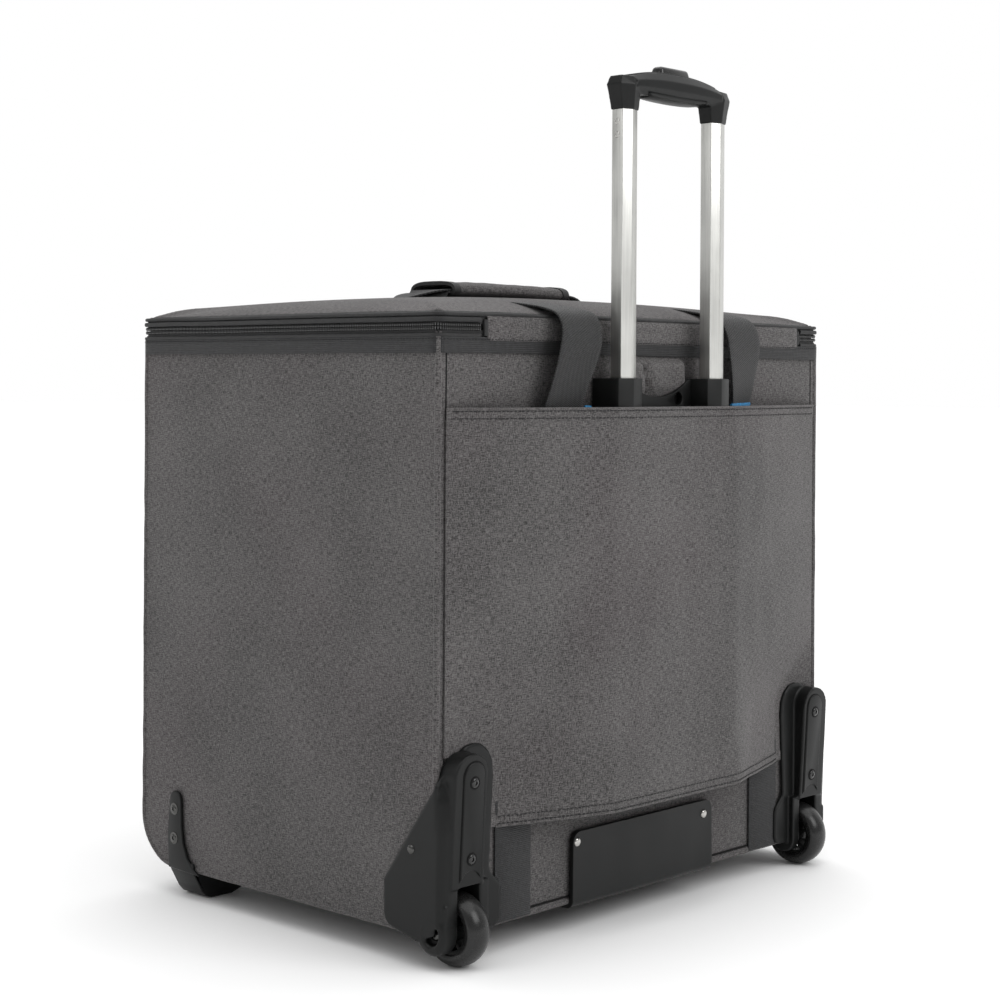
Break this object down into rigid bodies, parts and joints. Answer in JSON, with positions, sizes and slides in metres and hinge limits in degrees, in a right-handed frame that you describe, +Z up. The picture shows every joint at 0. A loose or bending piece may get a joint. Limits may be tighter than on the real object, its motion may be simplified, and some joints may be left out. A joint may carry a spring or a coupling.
{
  "type": "tennis ball machine",
  "caption": "Ball-throwing machine in a soft zipped trolley case with pull-out handle, road wheels, hinged padded lid, ball hopper, feed carousel and twin launch wheels.",
  "frame": {"origin": "on the floor, under the middle of the machine's bounding box", "axes": "+Z up, balls are thrown towards -Y, the trolley handle and road wheels are at +Y, +X is the left side seen from behind"},
  "size_m": [0.5366, 0.44, 0.748],
  "materials": {
    "fabric": "grey heather woven polyester, matt",
    "webbing": "black woven webbing and zip tape",
    "black_plastic": "black moulded plastic, satin",
    "grey_plastic": "grey moulded plastic",
    "accent_plastic": "orange control knobs, satin gloss",
    "aluminium": "satin anodised extrusion and plate",
    "steel": "plain steel",
    "tyre_rubber": "black polyurethane tread",
    "wheel_rubber": "black foam rubber",
    "plywood": "birch plywood, sealed"
  },
  "bodies": {
    "case": {"side_panel_left": "fabric", "side_panel_right": "fabric", "bottom_panel": "fabric", "front_panel": "fabric", "rear_panel": "fabric", "trolley_cover": "fabric", "rim_band": "webbing", "strap_root_left": "webbing", "strap_root_right": "webbing", "top_bracket": "black_plastic", "foot_bracket": "black_plastic", "kick_plate": "black_plastic", "wheel_housing_left": "black_plastic", "wheel_housing_right": "black_plastic", "front_foot_left": "black_plastic", "front_foot_right": "black_plastic", "window_bezel": "black_plastic", "control_panel": "black_plastic", "battery": "black_plastic", "control_box": "black_plastic", "feed_plate": "grey_plastic", "carousel_ring": "grey_plastic", "ball_hopper": "grey_plastic", "drop_chute": "grey_plastic", "outer_tube_left": "aluminium", "outer_tube_right": "aluminium", "stand_left": "aluminium", "stand_right": "aluminium", "axle_bolt_left": "steel", "axle_bolt_right": "steel", "charge_inlet": "steel", "feed_motor": "steel", "oscillation_motor": "steel", "base_board": "plywood"},
    "lid": {"lid_band": "webbing", "lid_panel": "fabric", "carry_strap_rear": "webbing", "carry_strap_front": "webbing", "strap_wrap": "fabric"},
    "handle": {"inner_tube_left": "aluminium", "inner_tube_right": "aluminium", "grip": "black_plastic"},
    "release_button": {"release_button": "black_plastic"},
    "road_wheel_left": {"road_tyre_left": "tyre_rubber", "road_hub_left": "black_plastic"},
    "road_wheel_right": {"road_tyre_right": "tyre_rubber", "road_hub_right": "black_plastic"},
    "turntable": {"turntable": "aluminium"},
    "cradle": {"cradle": "aluminium", "exit_barrel": "grey_plastic", "launch_motor_left": "steel", "launch_motor_right": "steel"},
    "launch_wheel_left": {"launch_wheel_left": "wheel_rubber"},
    "launch_wheel_right": {"launch_wheel_right": "wheel_rubber"},
    "drive_roller": {"drive_roller": "wheel_rubber"},
    "feed_carousel": {"feed_carousel": "grey_plastic"},
    "speed_knob": {"speed_knob": "accent_plastic"},
    "power_button": {"power_button": "accent_plastic"},
    "zip_slider_left": {"zip_slider_left": "steel"},
    "zip_slider_right": {"zip_slider_right": "steel"}
  },
  "joints": [
    {"name": "lid_hinge", "type": "hinge", "parent": "case", "child": "lid", "pos_m": [0, 0.18305, 0.527], "axis": [-1, 0, 0], "range_deg": [0, 75]},
    {"name": "handle_slide", "type": "slide", "parent": "case", "child": "handle", "axis": [0, 0, 1], "range_m": [-0.225, 0]},
    {"name": "release_button_press", "type": "slide", "parent": "handle", "child": "release_button", "axis": [0, 0, -1], "range_m": [0, 0.004], "stiffness_N_per_m": 400},
    {"name": "road_wheel_left_spin", "type": "hinge", "parent": "case", "child": "road_wheel_left", "pos_m": [0.238, 0.18105, 0.03], "axis": [1, 0, 0], "continuous": true},
    {"name": "road_wheel_right_spin", "type": "hinge", "parent": "case", "child": "road_wheel_right", "pos_m": [-0.238, 0.18105, 0.03], "axis": [1, 0, 0], "continuous": true},
    {"name": "turntable_yaw", "type": "hinge", "parent": "case", "child": "turntable", "pos_m": [0, -0.07045, 0.0426], "axis": [0, 0, 1], "range_deg": [-12, 12]},
    {"name": "drive_roller_spin", "type": "hinge", "parent": "case", "child": "drive_roller", "pos_m": [0, 0.02185, 0.0426], "axis": [0, 0, 1], "range_deg": [-98.4, 98.4]},
    {"name": "cradle_pitch", "type": "hinge", "parent": "turntable", "child": "cradle", "pos_m": [0, -0.07045, 0.147], "axis": [-1, 0, 0], "range_deg": [0, 20]},
    {"name": "launch_wheel_left_spin", "type": "hinge", "parent": "cradle", "child": "launch_wheel_left", "pos_m": [0.0805, -0.11045, 0.147], "axis": [0, 0, 1], "continuous": true},
    {"name": "launch_wheel_right_spin", "type": "hinge", "parent": "cradle", "child": "launch_wheel_right", "pos_m": [-0.0805, -0.11045, 0.147], "axis": [0, 0, 1], "continuous": true},
    {"name": "feed_carousel_spin", "type": "hinge", "parent": "case", "child": "feed_carousel", "pos_m": [0, -0.03045, 0.2683], "axis": [0, 0, 1], "continuous": true},
    {"name": "speed_knob_turn", "type": "hinge", "parent": "case", "child": "speed_knob", "pos_m": [-0.197, -0.20825, 0.202], "axis": [0, -1, 0], "range_deg": [0, 270]},
    {"name": "power_button_press", "type": "slide", "parent": "case", "child": "power_button", "axis": [0, 1, 0], "range_m": [0, 0.0025], "stiffness_N_per_m": 300},
    {"name": "zip_slider_left_run", "type": "slide", "parent": "case", "child": "zip_slider_left", "axis": [1, 0, 0], "range_m": [0, 0.225]},
    {"name": "zip_slider_right_run", "type": "slide", "parent": "case", "child": "zip_slider_right", "axis": [-1, 0, 0], "range_m": [0, 0.225]}
  ],
  "couplings": [
    {"joint": "drive_roller_spin", "follows": "turntable_yaw", "ratio": -8.2}
  ]
}
